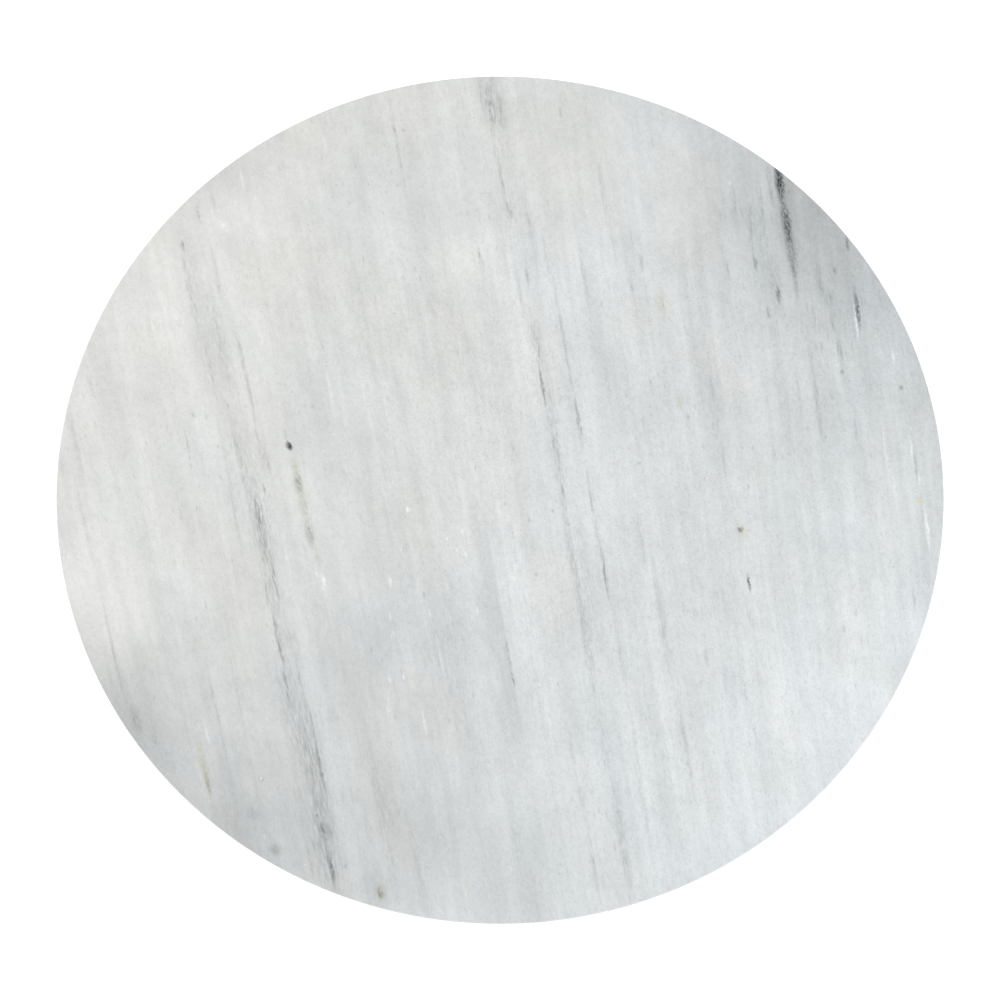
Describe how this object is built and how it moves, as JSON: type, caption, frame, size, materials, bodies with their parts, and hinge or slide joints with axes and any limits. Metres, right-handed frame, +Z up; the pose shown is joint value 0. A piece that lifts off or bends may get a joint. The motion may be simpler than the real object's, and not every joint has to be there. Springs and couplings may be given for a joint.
{
  "type": "lazy susan turntable",
  "caption": "Round marble lazy susan: a polished stone slab turns on a slim ball-bearing ring over a smaller marble base on rubber feet.",
  "frame": {"origin": "on the spin axis, at the level of the table that the rubber feet stand on", "axes": "+Z up along the spin axis; +X through the middle of the first base screw and the first slab screw at rest"},
  "size_m": [0.406, 0.406, 0.046],
  "materials": {
    "white_marble": "honed and sealed, satin",
    "ring_aluminium": "turned and clear anodised",
    "bearing_steel": "polished balls",
    "screw_steel": "stainless",
    "insert_brass": "machined",
    "cage_nylon": "moulded, natural",
    "gasket_rubber": "die cut sheet",
    "foot_rubber": "moulded, matt"
  },
  "bodies": {
    "base": {"marble_base": "white_marble", "inner_ring": "ring_aluminium", "base_gasket": "gasket_rubber", "base_screws": "screw_steel", "base_washers": "screw_steel", "foot_inserts": "insert_brass", "foot_screws": "screw_steel", "foot_washers": "screw_steel", "foot_1": "foot_rubber", "foot_2": "foot_rubber", "foot_3": "foot_rubber", "foot_4": "foot_rubber", "foot_5": "foot_rubber", "foot_6": "foot_rubber"},
    "cage": {"ball_cage": "cage_nylon", "bearing_balls": "bearing_steel"},
    "turntable": {"marble_top": "white_marble", "top_inserts": "insert_brass", "top_gasket": "gasket_rubber", "outer_ring": "ring_aluminium", "loading_plug": "screw_steel", "top_screws": "screw_steel"}
  },
  "joints": [
    {"name": "turntable_spin", "type": "hinge", "parent": "base", "child": "turntable", "pos_m": [0, 0, 0.025], "axis": [0, 0, 1], "continuous": true},
    {"name": "cage_roll", "type": "hinge", "parent": "base", "child": "cage", "pos_m": [0, 0, 0.025], "axis": [0, 0, 1], "continuous": true}
  ],
  "couplings": [
    {"joint": "cage_roll", "follows": "turntable_spin", "ratio": 0.5086}
  ]
}
